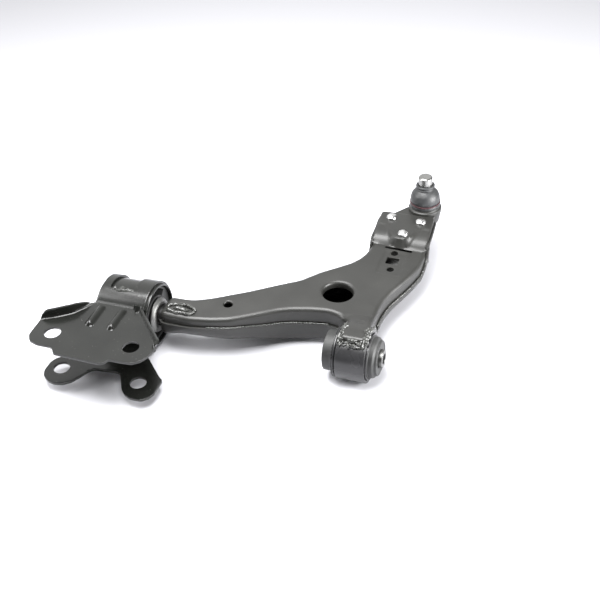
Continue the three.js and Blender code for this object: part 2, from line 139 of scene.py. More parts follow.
# ---- upper shell ----
# The arm's lid: 3 mm sheet pressed to a smooth tray with soft shoulders, open below. It narrows to
# a square neck for the rear pin, climbs on to the front bush tube and steps up to the ball joint.
def softened(points, corner, closed=True, turn=0.16, longest=6.0):
    """A polygon with rounded corners: walked at even steps, then each point becomes the bell-curve
    mean of the walk around it. Points are kept where the line has turned by turn, or gone longest."""
    points = np.asarray(points, float)
    ring = np.vstack([points, points[:1]]) if closed else points
    way = np.concatenate([[0], np.cumsum(np.linalg.norm(np.diff(ring, axis=0), axis=1))])
    count = int(max(40, way[-1] / max(corner / 6, 0.02)))
    at = np.linspace(0, way[-1], count, endpoint=not closed)
    walk = np.stack([np.interp(at, way, ring[:, k]) for k in range(2)], axis=1)
    reach = int(np.ceil(3 * corner / (way[-1] / count)))
    bell = np.exp(-0.5 * (np.arange(-reach, reach + 1) * way[-1] / count / corner) ** 2)
    bell /= bell.sum()
    if closed:
        padded = np.vstack([walk[-reach:], walk, walk[:reach]])
    else:
        before = 2 * walk[0] - walk[reach:0:-1]
        after = 2 * walk[-1] - walk[-2:-reach - 2:-1]
        padded = np.vstack([before, walk, after])
    soft = np.stack([np.convolve(padded[:, k], bell, "valid") for k in range(2)], axis=1)
    step = np.diff(soft, axis=0, append=soft[:1] if closed else soft[-1:])
    angle = np.unwrap(np.arctan2(step[:, 1], step[:, 0]))
    change = np.abs(np.diff(angle, prepend=angle[0]))
    if not closed:
        change[-1] = 0
    amount = np.cumsum(change / turn + np.linalg.norm(step, axis=1) / longest)
    keep = np.diff(np.floor(amount), prepend=-1) > 0
    keep[0] = True
    if not closed:
        keep[-1] = True
    return soft[keep]


def eased(points, corner):
    """A height line through points of (place, height), with its kinks rounded over corner."""
    line = softened(points, corner, closed=False, turn=0.03, longest=2.0)
    order = np.argsort(line[:, 0])
    return lambda place: np.interp(place, line[order, 0], line[order, 1])


def outwards(ring):
    """Unit normals of a counter-clockwise ring, pointing out of it."""
    run = np.roll(ring, -1, axis=0) - np.roll(ring, 1, axis=0)
    run /= np.linalg.norm(run, axis=1)[:, None]
    return np.stack([run[:, 1], -run[:, 0]], axis=1)


def inside(points, ring):
    """Whether each point lies inside a ring, by counting the ring's crossings to its right."""
    a, b = ring, np.roll(ring, -1, axis=0)
    x, y = points[:, :1], points[:, 1:]
    crosses = (a[:, 1] > y) != (b[:, 1] > y)
    rise = np.where(b[:, 1] == a[:, 1], 1e-9, b[:, 1] - a[:, 1])
    at = a[:, 0] + (y - a[:, 1]) * (b[:, 0] - a[:, 0]) / rise
    return (crosses & (x < at)).sum(axis=1) % 2 == 1


def flat_sheet(outline, holes, spacing):
    """Triangles that fill an outline round its holes: the rings' own points, and a staggered lattice
    of points at the given spacing kept clear of every ring. Rings keep their order, outline first."""
    rings = [outline, *holes]
    low, high = outline.min(axis=0), outline.max(axis=0)
    rows, columns = np.meshgrid(
        np.arange(low[1], high[1], spacing * 0.866), np.arange(low[0], high[0], spacing), indexing="ij")
    columns = columns + (np.arange(len(rows))[:, None] % 2) * spacing / 2
    lattice = np.stack([columns.ravel(), rows.ravel()], axis=1)
    lattice = lattice[inside(lattice, outline)]
    for ring in rings:
        near = np.linalg.norm(lattice[:, None] - ring[None], axis=2).min(axis=1)
        lattice = lattice[near > spacing * 0.55]
    for hole in holes:
        lattice = lattice[~inside(lattice, hole)]
    points = np.vstack([*rings, lattice])
    starts = np.cumsum([0] + [len(ring) for ring in rings])
    edges = [(start + i, start + (i + 1) % len(ring))
             for start, ring in zip(starts, rings) for i in range(len(ring))]
    made = geometry.delaunay_2d_cdt([Vector(p) for p in points], edges, [], 0, 1e-7)
    filled = np.array([tuple(v) for v in made[0]])
    faces = np.array(made[2])
    middle = filled[faces].mean(axis=1)
    keep = inside(middle, outline)
    for hole in holes:
        keep &= ~inside(middle, hole)
    return filled, faces[keep]


def band(rows):
    """Quads between the rows of a grid of points, rows by columns, closed round the columns."""
    count, width = rows.shape[:2]
    a = np.arange(count * width).reshape(count, width)
    b = np.roll(a, -1, axis=1)
    return rows.reshape(-1, 3), np.stack([a[:-1], b[:-1], b[1:], a[1:]], axis=-1).reshape(-1, 4)


def piece(name, parts, finish, thickness=0.0, edge=0.0, sharp=38, facing=None):
    """One object from (points, faces) parts in millimetres: welded where they meet, turned to face
    outwards, given its sheet thickness inwards and a small round on its edges, and smoothly shaded.
    facing is the way that most of a sheet's outer skin looks."""
    mesh = bpy.data.meshes.new(name)
    points, faces, start = [], [], 0
    for part_points, part_faces in parts:
        points.append(np.asarray(part_points, float))
        faces.extend((np.asarray(part_faces) + start).tolist())
        start += len(part_points)
    mesh.from_pydata(in_frame(np.vstack(points)).tolist(), [], faces)
    work = bmesh.new()
    work.from_mesh(mesh)
    bmesh.ops.remove_doubles(work, verts=work.verts, dist=2e-6)
    bmesh.ops.dissolve_degenerate(work, dist=1e-6, edges=work.edges)
    bmesh.ops.recalc_face_normals(work, faces=work.faces)
    if facing and sum(face.normal.dot(Vector(facing)) * face.calc_area() for face in work.faces) < 0:
        bmesh.ops.reverse_faces(work, faces=work.faces)
    work.to_mesh(mesh)
    work.free()
    made = bpy.data.objects.new(name, mesh)
    bpy.context.scene.collection.objects.link(made)
    if thickness:
        wall = made.modifiers.new("wall", "SOLIDIFY")
        wall.thickness = thickness * 0.001
        wall.offset = -1
        wall.use_even_offset = False
        wall.use_quality_normals = True
    if edge:
        rim = made.modifiers.new("rim", "BEVEL")
        rim.width = edge * 0.001
        rim.segments = 2
        rim.limit_method = "ANGLE"
        rim.angle_limit = np.radians(50)
    if thickness or edge:
        shaped = made.evaluated_get(bpy.context.evaluated_depsgraph_get())
        solid = bpy.data.meshes.new_from_object(shaped)
        made.modifiers.clear()
        made.data = solid
        bpy.data.meshes.remove(mesh)
        mesh = solid
        mesh.name = name
    mesh.shade_smooth()
    mesh.set_sharp_from_angle(angle=np.radians(sharp))
    mesh.materials.clear()
    mesh.materials.append(finish)
    return made


def finish(name, colour, roughness, metallic=0.0, coat=0.0, mottle=0.25, mottle_size=40.0,
           grain=0.15, grain_size=900.0, dust=0.0, streak=None):
    """A shader whose colour and roughness drift over broad soft patches, with a fine bumpy grain on
    the surface, an optional clear coat, pale dust specks, and turning marks round an axis."""
    made = bpy.data.materials.new(name)
    made.use_nodes = True
    nodes, links = made.node_tree.nodes, made.node_tree.links
    shader = nodes["Principled BSDF"]
    shader.inputs["Metallic"].default_value = metallic
    shader.inputs["Coat Weight"].default_value = coat
    shader.inputs["Coat Roughness"].default_value = 0.12
    place = nodes.new("ShaderNodeTexCoord")
    patch = nodes.new("ShaderNodeTexNoise")
    patch.inputs["Scale"].default_value = mottle_size
    patch.inputs["Detail"].default_value = 5.0
    links.new(place.outputs["Object"], patch.inputs["Vector"])
    tint = nodes.new("ShaderNodeValToRGB")
    dark = [c * (1 - mottle) for c in colour]
    light = [min(1.0, c * (1 + mottle)) for c in colour]
    tint.color_ramp.elements[0].position = 0.3
    tint.color_ramp.elements[0].color = (*dark, 1.0)
    tint.color_ramp.elements[1].position = 0.7
    tint.color_ramp.elements[1].color = (*light, 1.0)
    links.new(patch.outputs["Fac"], tint.inputs["Fac"])
    colour_out = tint.outputs["Color"]
    if dust:
        specks = nodes.new("ShaderNodeTexNoise")
        specks.inputs["Scale"].default_value = 420.0
        specks.inputs["Detail"].default_value = 2.0
        links.new(place.outputs["Object"], specks.inputs["Vector"])
        cut = nodes.new("ShaderNodeMapRange")
        cut.inputs["From Min"].default_value = 0.72
        cut.inputs["From Max"].default_value = 0.80
        cut.inputs["To Max"].default_value = dust
        links.new(specks.outputs["Fac"], cut.inputs["Value"])
        mix = nodes.new("ShaderNodeMix")
        mix.data_type = "RGBA"
        mix.inputs["B"].default_value = (0.45, 0.44, 0.42, 1.0)
        links.new(cut.outputs["Result"], mix.inputs["Factor"])
        links.new(colour_out, mix.inputs["A"])
        colour_out = mix.outputs["Result"]
    links.new(colour_out, shader.inputs["Base Color"])
    worn = nodes.new("ShaderNodeMapRange")
    worn.inputs["From Min"].default_value = 0.3
    worn.inputs["From Max"].default_value = 0.7
    worn.inputs["To Min"].default_value = roughness * 0.88
    worn.inputs["To Max"].default_value = min(1.0, roughness * 1.12)
    links.new(patch.outputs["Fac"], worn.inputs["Value"])
    links.new(worn.outputs["Result"], shader.inputs["Roughness"])
    fine = nodes.new("ShaderNodeTexNoise")
    fine.inputs["Scale"].default_value = grain_size
    fine.inputs["Detail"].default_value = 3.0
    if streak is None:
        links.new(place.outputs["Object"], fine.inputs["Vector"])
    else:
        stretch = nodes.new("ShaderNodeMapping")
        stretch.inputs["Scale"].default_value = streak
        links.new(place.outputs["Object"], stretch.inputs["Vector"])
        links.new(stretch.outputs["Vector"], fine.inputs["Vector"])
    bump = nodes.new("ShaderNodeBump")
    bump.inputs["Strength"].default_value = grain
    bump.inputs["Distance"].default_value = 0.0004
    links.new(fine.outputs["Fac"], bump.inputs["Height"])
    links.new(bump.outputs["Normal"], shader.inputs["Normal"])
    return made


def ring_of(x, y, radius, count):
    """Points evenly round a circle."""
    turn = np.linspace(0, 2 * np.pi, count, endpoint=False)
    return np.stack([x + radius * np.cos(turn), y + radius * np.sin(turn)], axis=1)


def smooth_step(value, low, high):
    """0 below low, 1 above high, and an S curve between."""
    share = np.clip((value - low) / (high - low), 0, 1)
    return share * share * (3 - 2 * share)


SHEET = 3.0
SKIN = SHEET - 0.2  # leaves a hair of air between lapped sheets
LAP_GAP = 0.3
SHELL_LAP = 7.0
SHOULDER = 6.5
PAD_FOOT, PAD_TOP = 222, 70.9
ARM_TIP = 279
ARM_SIDE = softened([
    (-271, -15), (-266, -21), (-226, -21), (-198, -15), (-172, -6), (-137, 17), (-118, 31), (-100, 40),
    (-75, 47.5), (-52, 52), (-35, 49), (-22, 40), (-15, 28), (-12, 14), (-12, -16), (21, -16), (21, 10),
    (17.5, 40), (14.5, 60), (14.5, 78), (16, 94), (21, 115), (29.5, 137), (38, 161), (45, 188), (46, 212),
    (44.5, 250), (42, 289), (-39, 289), (-36.5, 250), (-36, 214), (-38, 200), (-43, 184), (-54, 167),
    (-89, 134), (-110, 108), (-134, 91), (-169, 64), (-193, 48), (-215, 33), (-235, 23), (-250, 21),
    (-266, 21), (-271, 15),
], 4.0, turn=0.14, longest=3.0)
lid_slope = eased([(-300, 66.5), (-215, 64), (60, 54)], 8)
saddle_climb = eased([(90, 40), (58, 56), (34, 66), (14, 73), (2, 75.5), (-30, 75.5)], 4)
pad_climb = eased([(150, 20), (216.5, 54), (220.5, 54.8), (223, 58), (227, 62.6), (232, 65.8),
                   (240, 68), (250, 69.3), (300, 70)], 1.6)
seam_slope = eased([(-300, 51.5), (-212, 51.5), (-190, 49.5), (-159, 46.5), (-125, 39.5), (-88, 35.5),
                    (-55, 34.5), (60, 36)], 6)
seam_climb = eased([(150, 20), (190, 37), (214, 45), (227, 64), (300, 64.4)], 3)
LOBE = softened([
    (-36, 258), (-24, 257), (-18, 249), (-9, 230), (-1.5, 223), (9, 223), (16, 226), (21, 235),
    (26, 249), (31, 256), (60, 258), (60, 300), (-60, 300), (-60, 259),
], 2.0, longest=3.0)[::-1]
HOLE = {"x": -50, "y": 96, "r": 21.5, "lip": 4.5, "deep": 10}
REAR_HOLE = {"x": -186, "y": 25, "r": 6.2, "lip": 2.2, "deep": 4}
PANEL = {"x": (-15, 24), "y": (153, 205), "end": 214, "side": 5, "deep": 0.9}
DIMPLE = {"x": 2, "y": 29, "r": 6, "deep": 1.5}


def ring_distance(points, ring):
    """Distance of each point from a closed ring's line, positive inside the ring."""
    a = ring
    run = np.roll(ring, -1, axis=0) - a
    share = ((points[:, None] - a) * run).sum(axis=2) / np.maximum((run ** 2).sum(axis=1), 1e-9)
    away = points[:, None] - a - np.clip(share, 0, 1)[..., None] * run
    far = np.linalg.norm(away, axis=2).min(axis=1)
    return np.where(inside(points, ring), far, -far)


def lid_height(x, y):
    """Height of the lid: the highest of the long slope, the climb on to the bush tube and the step up
    to the pad, with the pad's nose blended up to the pad's top, less a shallow panel and a dimple,
    each with S-curved sides."""
    neck = smooth_step(x, -30, -12) * (1 - smooth_step(x, 18, 34))
    slope = lid_slope(x)
    height = slope + np.maximum(saddle_climb(y) - slope, 0) * neck
    height = np.where(y > 214, np.maximum(height, pad_climb(y)), height)
    lobe = smooth_step(ring_distance(np.stack([x, y], axis=1), LOBE), -4, 2.2)
    lobe = lobe * smooth_step(y, 220.5, 224)
    height = height + lobe * np.maximum(PAD_TOP - height, 0)
    (left, right), (near, back), side = PANEL["x"], PANEL["y"], PANEL["side"]
    across = smooth_step(x, left, left + side) * (1 - smooth_step(x, right - side, right))
    along = smooth_step(y, near, near + side) * (1 - smooth_step(y, back, PANEL["end"]))
    height = height - PANEL["deep"] * across * along
    far = np.hypot(x - DIMPLE["x"], y - DIMPLE["y"])
    return height - DIMPLE["deep"] * (1 - smooth_step(far, 0, DIMPLE["r"]))


def seam_height(x, y):
    """Height of the lower shell's rim, where the two shells are welded."""
    return np.where(y > 170, np.maximum(seam_slope(x), seam_climb(y)), seam_slope(x))


def pressed_wall(ring, edge, top, corner, rows=5):
    """Wall and shoulder of a pressed tray: rows of points up the wall from edge, then round a quarter
    circle of the corner radius, in towards the middle, to top. Gives the rows and the inner ring."""
    normal = outwards(ring)
    rise = np.sign(top - edge)
    up = np.linspace(0, 1, rows)[:, None]
    wall_z = edge + (top - rise * corner - edge) * up
    wall = np.dstack([*np.broadcast_arrays(ring[:, 0], ring[:, 1], wall_z)])
    turn = np.linspace(0, np.pi / 2, 8)[1:, None]
    inward = corner * (1 - np.cos(turn))
    shoulder = np.dstack([
        ring[:, 0] - normal[:, 0] * inward, ring[:, 1] - normal[:, 1] * inward,
        top - rise * corner * (1 - np.sin(turn)),
    ])
    return np.concatenate([wall, shoulder]), shoulder[-1]


def rolled_hole(x, y, radius, lip, deep, count):
    """Rim of a hole that is drawn down into the sheet: a quarter circle of the lip radius from the
    flat to the bore, then straight down. Gives the rows and the outer ring."""
    turn = np.linspace(0, 2 * np.pi, count, endpoint=False)
    around = np.linspace(0, np.pi / 2, 7)
    r = np.concatenate([radius + lip * (1 - np.sin(around)), [radius, radius]])[:, None]
    drop = np.concatenate([lip * (1 - np.cos(around)), [lip + (deep - lip) / 2, deep]])[:, None]
    px, py = x + r * np.cos(turn), y + r * np.sin(turn)
    rim_height = lid_height(px[0], py[0])
    return np.dstack([px, py, rim_height - drop]), np.stack([px[0], py[0]], axis=1)


ARM_BLACK = (0.016, 0.016, 0.0145)
arm_coat = finish("satin_black_dip_coat", ARM_BLACK, 0.40, mottle=0.16, mottle_size=18.0,
                  grain=0.10, grain_size=1500.0, dust=0.10)

side_x, side_y = ARM_SIDE.T
over_tube = np.sqrt(np.maximum((TUBE["r"] + LAP_GAP) ** 2 - side_y ** 2, 0)) + TUBE["z"]
near_tube = (np.abs(side_y) < TUBE["r"] + LAP_GAP) & (side_x > -20)
wall_foot = seam_height(side_x, side_y) - SHELL_LAP
wall_foot = np.where(near_tube, np.maximum(wall_foot, over_tube), wall_foot)
wall_foot = np.where(side_y > PAD_FOOT, np.maximum(wall_foot, 63.2), wall_foot)
wall_foot = np.where(side_y > ARM_TIP, 67.7, wall_foot)
shoulder = np.minimum(SHOULDER, 0.75 * (lid_height(side_x, side_y) - wall_foot))
shoulder = np.where(side_y > PAD_FOOT, np.minimum(shoulder, 1.8), shoulder)
shelf = ARM_SIDE - outwards(ARM_SIDE) * shoulder[:, None]
lid_rows, lid_ring = pressed_wall(ARM_SIDE, wall_foot, lid_height(shelf[:, 0], shelf[:, 1]), shoulder)
big_rim, big_ring = rolled_hole(HOLE["x"], HOLE["y"], HOLE["r"], HOLE["lip"], HOLE["deep"], 72)
rear_rim, rear_ring = rolled_hole(REAR_HOLE["x"], REAR_HOLE["y"], REAR_HOLE["r"], REAR_HOLE["lip"],
                                  REAR_HOLE["deep"], 36)
slot = softened([(-15.4, 215.2), (25.9, 214.0), (25.9, 218.8), (-15.4, 220.0)], 1.0, longest=3.0)
window = softened([(-5.6, 180), (12.4, 180), (12.4, 195.5), (-5.6, 195.5)], 0.5, longest=3.0)
small_holes = [ring_of(1.8, 206.5, 5.4, 28), ring_of(5.8, 167.5, 5.4, 28)]
lid_flat, lid_faces = flat_sheet(lid_ring[:, :2], [big_ring, rear_ring, slot, window, *small_holes], 2.6)
lid = np.column_stack([lid_flat, lid_height(lid_flat[:, 0], lid_flat[:, 1])])
upper_shell = piece("upper_shell", [band(lid_rows), (lid, lid_faces), band(big_rim), band(rear_rim)],
                    arm_coat, thickness=SKIN, edge=0.35, facing=(0, 0, 1))
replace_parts(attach(upper_shell, "arm"), "upper_shell")

# ---- lower shell ----
# The arm's tray: the same sheet pressed the other way up, 3 mm wider all round so that its rim
# takes the lid's wall. Its floor hangs deep under the middle of the arm and thins out at both ends.
tray_side = ARM_SIDE + outwards(ARM_SIDE) * (SHEET + LAP_GAP)
beside_tube = (tray_side[:, 1] < 33.5) & (tray_side[:, 0] > -27)
tray_side = tray_side[~beside_tube]
side_x, side_y = tray_side.T
floor_slope = eased([(-300, 31), (-224, 31), (-200, 27), (-183, 24), (-166, 21), (-150, 16.5),
                     (-132, 11.5), (-112, 7.5), (-90, 5.8), (-50, 6.5), (-20, 13), (15, 22),
                     (60, 26)], 6)
floor_climb = eased([(150, -20), (190, 18), (218, 27), (227, 42), (230, 59.7), (300, 59.7)], 4)


def tray_height(x, y):
    """Height of the tray's underside."""
    return np.where(y > 160, np.maximum(floor_slope(x), floor_climb(y)), floor_slope(x))


rim = seam_height(side_x, side_y)
rim = np.where(side_y > ARM_TIP, 62.6, rim)
TIGHT = 6
corner_radius = np.interp(side_x, [-262, -238, -200, -150, -115, -60, -20, 15, 60],
                          [TIGHT, 16, 16, 14, 9, 9, 12, 15, 15])
past_neck = np.where(side_x > -60, smooth_step(side_y, 40, 70), 1.0)
corner_radius = TIGHT + (corner_radius - TIGHT) * past_neck
tray_corner = np.minimum(corner_radius, 0.8 * (rim - tray_height(side_x, side_y)))
tray_corner = np.where(side_y > PAD_FOOT, np.minimum(tray_corner, 1.2), tray_corner)
shelf = tray_side - outwards(tray_side) * tray_corner[:, None]
tray_rows, tray_ring = pressed_wall(tray_side, rim, tray_height(shelf[:, 0], shelf[:, 1]), tray_corner)
tray_flat, tray_faces = flat_sheet(tray_ring[:, :2], [ring_of(-95, 80, 6, 28)], 3.5)
tray = np.column_stack([tray_flat, tray_height(tray_flat[:, 0], tray_flat[:, 1])])
lower_shell = piece("lower_shell", [band(tray_rows), (tray, tray_faces[:, ::-1])], arm_coat,
                    thickness=SKIN, edge=0.35, facing=(0, 0, -1))
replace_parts(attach(lower_shell, "arm"), "lower_shell")


# ---- seam welds ----
# Electric arc beads laid on the tray's rim against the lid's wall, in three runs, then painted over.
def lumps(points, size, seed):
    """Smooth random swelling between -1 and 1: the mean of eight sine waves in random directions."""
    chance = np.random.default_rng(seed)
    waves = chance.normal(size=(8, 3))
    waves *= 2 * np.pi / size / np.linalg.norm(waves, axis=1)[:, None]
    return np.sin(points @ waves.T + chance.uniform(0, 2 * np.pi, 8)).mean(axis=-1) * 1.6


def bead(path, radius, seed, ripple=2.2, rough=0.3, step=0.45, sides=14):
    """A weld bead: a round section carried along a path, swelling with smooth lumps and with a small
    saw-tooth of frozen ripples, and drawn to a point at both ends."""
    path = np.asarray(path, float)
    way = np.concatenate([[0], np.cumsum(np.linalg.norm(np.diff(path, axis=0), axis=1))])
    at = np.linspace(0, way[-1], max(12, int(way[-1] / step)))
    line = np.stack([np.interp(at, way, path[:, k]) for k in range(3)], axis=1)
    run = np.gradient(line, axis=0)
    run /= np.linalg.norm(run, axis=1)[:, None]
    steep = np.abs(run[:, 2:]) >= 0.9
    side = np.cross(run, np.where(steep, [[0.0, 1.0, 0.0]], [[0.0, 0.0, 1.0]]))
    side /= np.linalg.norm(side, axis=1)[:, None]
    top = np.cross(side, run)
    turn = np.linspace(0, 2 * np.pi, sides, endpoint=False)
    ends = np.sqrt(np.clip(np.minimum(at, way[-1] - at) / (radius * 1.4), 0, 1))
    saw = 1 - 0.14 * ((at / ripple + 0.25 * np.sin(at)) % 1)
    across, above = np.cos(turn)[None, :, None], np.sin(turn)[None, :, None]
    around = side[:, None] * across + top[:, None] * above
    swell = 1 + rough * lumps(line[:, None] + around * radius, 4 * radius, seed)
    rows = line[:, None] + around * (radius * (ends * saw)[:, None] * swell)[..., None]
    return band(rows)


def seam_run(start, end):
    """The part of the arm's outline between two shares of its points, on the tray's rim."""
    count = len(ARM_SIDE)
    pick = np.arange(int(start * count), int(end * count)) % count
    out = ARM_SIDE[pick] + outwards(ARM_SIDE)[pick] * SEAM_OUT
    return np.column_stack([out, seam_height(out[:, 0], out[:, 1]) + SEAM_LIFT])


def nearest_share(x, y):
    """Where along the arm's outline a place is, as a share of its points."""
    return np.hypot(ARM_SIDE[:, 0] - x, ARM_SIDE[:, 1] - y).argmin() / len(ARM_SIDE)


weld_coat = finish("glossy_painted_weld", (0.030, 0.031, 0.028), 0.24, coat=0.4, mottle=0.5,
                   mottle_size=260.0, grain=0.5, grain_size=1400.0, dust=0.35)
SEAM_OUT, SEAM_LIFT, SEAM_BEAD = 1.5, 0.4, 1.6
SEAM_RUNS = {
    "seam_weld_front": ((-205, -16), (-45, 51)),
    "seam_weld_outer": ((15, 62), (48, 205)),
    "seam_weld_rear": ((-60, 162), (-205, 41)),
}
for seed, (name, (start, end)) in enumerate(SEAM_RUNS.items()):
    run = seam_run(nearest_share(*start), nearest_share(*end))
    weld = piece(name, [bead(run, SEAM_BEAD, seed, rough=0.25)], weld_coat)
    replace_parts(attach(weld, "arm"), name)


# ---- front bush ----
# A welded steel tube across the arm's end. A pressed sleeve in it carries bonded rubber that stands
# out at both ends, and a dull oiled steel sleeve through the middle takes the bolt.
def turned(profile, centre, axis, corner=0.5, sides=96, closed=True):
    """A turned part: a profile of (radius, place along the axis) with softened corners, carried round
    the axis. An open profile starts and ends on the axis and is closed there by a point."""
    if closed:
        line = softened(profile, corner, turn=0.25, longest=8.0)
        line = np.vstack([line, line[:1]])
    else:
        mirrored = [(-r, t) for r, t in reversed(profile)]
        line = softened([*profile, *mirrored], corner, turn=0.25, longest=8.0)
        line = line[line[:, 0] > 0.02]
        jump = np.abs(np.diff(line, axis=0, append=line[:1])).sum(axis=1)
        line = np.roll(line, -int(np.argmax(jump)) - 1, axis=0)
        line = np.vstack([[0, line[0, 1]], line, [0, line[-1, 1]]])
    turn = np.linspace(0, 2 * np.pi, sides, endpoint=False)
    r, along = line[:, :1], np.broadcast_to(line[:, 1:], (len(line), sides))
    first, second = r * np.cos(turn), r * np.sin(turn)
    if axis == "x":
        rows = np.dstack([centre[0] + along, centre[1] + first, centre[2] + second])
    else:
        rows = np.dstack([centre[0] + first, centre[1] + second, centre[2] + along])
    return band(rows)


FRONT = (0, TUBE["y"], TUBE["z"])
tube_coat = finish("gloss_black_tube_coat", (0.020, 0.020, 0.021), 0.26, mottle=0.2, mottle_size=30.0,
                   grain=0.07, grain_size=1300.0, dust=0.12)
front_tube = piece("front_bush_tube", [turned(
    [(TUBE["bore"], TUBE["left"]), (TUBE["r"], TUBE["left"]), (TUBE["r"], TUBE["right"]),
     (TUBE["bore"], TUBE["right"])], FRONT, "x", 0.6)], tube_coat)
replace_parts(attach(front_tube, "arm"), "front_bush_tube")

front_sleeve_outer = piece("front_bush_outer_sleeve", [turned(
    [(29.7, -21.5), (34.3, -21.5), (34.5, -20.4), (33.5, -20.1), (33.5, -19.6), (34.5, -19.3),
     (34.5, -17.8), (31.7, -15.9), (31.7, 26.5), (29.7, 26.5)], FRONT, "x", 0.2)], tube_coat)
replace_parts(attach(front_sleeve_outer, "arm"), "front_bush_outer_sleeve")

rubber = finish("bush_rubber", (0.018, 0.0185, 0.018), 0.55, mottle=0.3, mottle_size=90.0, grain=0.35,
                grain_size=700.0, dust=0.15)
front_rubber = piece("front_bush_rubber", [turned(
    [(12.6, -35), (24, -36.4), (27.5, -35), (27.5, -22), (29.4, -20.6), (29.4, 26.7), (27.6, 27.1),
     (27.6, 32.4), (25.4, 34.4), (24.2, 34.8), (23.8, 37.9), (22, 38.5), (20.6, 37.4), (12.6, 37.4)],
    FRONT, "x", 0.5)], rubber)
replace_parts(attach(front_rubber, "arm"), "front_bush_rubber")

bare_steel = finish("bright_turned_steel", (0.32, 0.32, 0.31), 0.27, metallic=1.0, mottle=0.08,
                    mottle_size=60.0, grain=0.12, grain_size=500.0, streak=(1.0, 1.0, 9.0))
dull_steel = finish("dull_oiled_steel", (0.16, 0.16, 0.155), 0.40, metallic=1.0, mottle_size=60.0,
                    grain_size=700.0)
front_sleeve = piece("front_bush_inner_sleeve", [turned(
    [(7.2, -39.5), (12.3, -39.5), (12.3, 42.5), (7.2, 42.5)], FRONT, "x", 0.4)], dull_steel)
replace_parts(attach(front_sleeve, "front_sleeve"), "front_bush_inner_sleeve")


# ---- bush tube welds ----
# Heavy lumpy beads that join the lid's neck to the tube: one down each side of the neck and a pile
# of weld across its end, all painted glossy black.
def over_front_tube(x, start, end, lift):
    """A path round the tube's skin at one place along it, between two angles from outboard."""
    turn = np.radians(np.linspace(start, end, 40))
    reach = TUBE["r"] + lift
    up = TUBE["z"] + reach * np.sin(turn)
    return np.column_stack([np.full(40, float(x)), reach * np.cos(turn), up])


weld_left = piece("tube_weld_left", [
    bead(over_front_tube(-13.9, 26, 126, 0.9), 2.5, 11, rough=0.9, ripple=3.1),
    bead(over_front_tube(-11.4, 70, 128, 1.9), 2.4, 12, rough=1.0, ripple=2.6),
    bead(over_front_tube(-8.6, 106, 124, 1.4), 2.5, 18, rough=1.0, ripple=2.6),
], weld_coat)
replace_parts(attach(weld_left, "arm"), "tube_weld_left")
weld_right = piece("tube_weld_right", [
    bead(over_front_tube(22.6, 26, 124, 0.9), 2.5, 13, rough=0.9, ripple=3.1),
    bead(over_front_tube(20.0, 68, 128, 1.9), 2.5, 14, rough=1.0, ripple=2.6),
    bead(over_front_tube(17.2, 106, 126, 1.4), 2.7, 19, rough=1.0, ripple=2.6),
], weld_coat)
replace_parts(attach(weld_right, "arm"), "tube_weld_right")
across = np.linspace(-9, 18, 30)
weld_top = piece("tube_weld_top", [
    bead(np.column_stack([across, -16.8 + 1.2 * np.sin(across / 3), np.full(30, 69.9)]), 3.1, 15,
         rough=0.9),
    bead(np.column_stack([across, -20.4 + 1.8 * np.cos(across / 4), np.full(30, 67.0)]), 2.3, 16,
         rough=1.0),
    bead([(-3, -14.5, 73.2), (4, -17.5, 72.0), (12, -14.5, 73.4)], 3.0, 17, rough=0.9),
    bead([(0, -18, 70), (1, -22, 68), (2, -25, 65.6)], 2.4, 20, rough=1.0),
    bead([(8, -18, 70), (8.5, -22, 68), (9, -24, 66.2)], 2.6, 23, rough=1.0),
], weld_coat)
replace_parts(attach(weld_top, "arm"), "tube_weld_top")

# ---- rear pin and bush ----
# A solid steel pin welded into the arm's neck through a slot. Its bush has a steel core, rubber with
# two kidney voids that make it soft up and down, and a pressed steel sleeve held by the bracket.
REAR = (0, -3, 47)
pin_coat = finish("gloss_black_pin_coat", (0.006, 0.006, 0.006), 0.30, mottle=0.3, mottle_size=30.0,
                  grain=0.12, grain_size=1100.0)
pin = piece("rear_pin", [turned(
    [(0, -349), (12.5, -349), (14.5, -347), (14.5, -222), (0, -222)], REAR, "x", 0.6, closed=False)],
    pin_coat)
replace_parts(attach(pin, "arm"), "rear_pin")
turn = np.linspace(0, 2 * np.pi, 80)
loop = np.column_stack([
    -243 + np.where(np.cos(turn) > 0, 13, -13) * np.abs(np.cos(turn)) ** 0.5 * 1.5,
    -5 + 8.2 * np.sin(turn), np.full(80, 66.0)])
pool = np.linspace(-255, -231, 30)
pin_weld = piece("pin_weld", [
    bead(loop, 2.7, 21, rough=0.7, ripple=2.4),
    bead(np.column_stack([pool, np.full(30, -5.0), np.full(30, 64.6)]), 4.4, 22, rough=0.4, ripple=3.4),
], weld_coat)
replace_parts(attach(pin_weld, "arm"), "pin_weld")

bracket_coat = finish("gloss_black_dip_coat", (0.008, 0.0085, 0.0075), 0.23, mottle=0.2,
                      mottle_size=22.0, grain=0.08, grain_size=1300.0, dust=0.22)
rear_sleeve = piece("rear_bush_outer_sleeve", [turned(
    [(40.8, -357), (43.2, -357), (43.2, -279), (40.8, -279)], REAR, "x", 0.4)], bracket_coat)
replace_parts(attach(rear_sleeve, "rear_bracket"), "rear_bush_outer_sleeve")


def kidney(start, end):
    """A curved slot between two radii and two angles, as a ring of points in the bush's cross-section."""
    out = np.radians(np.linspace(start, end, 20))
    home = out[::-1]
    outer = np.column_stack([36.5 * np.cos(out), 36.5 * np.sin(out)])
    inner = np.column_stack([27 * np.cos(home), 27 * np.sin(home)])
    return softened(np.vstack([outer, inner]), 1.2, longest=4.0)


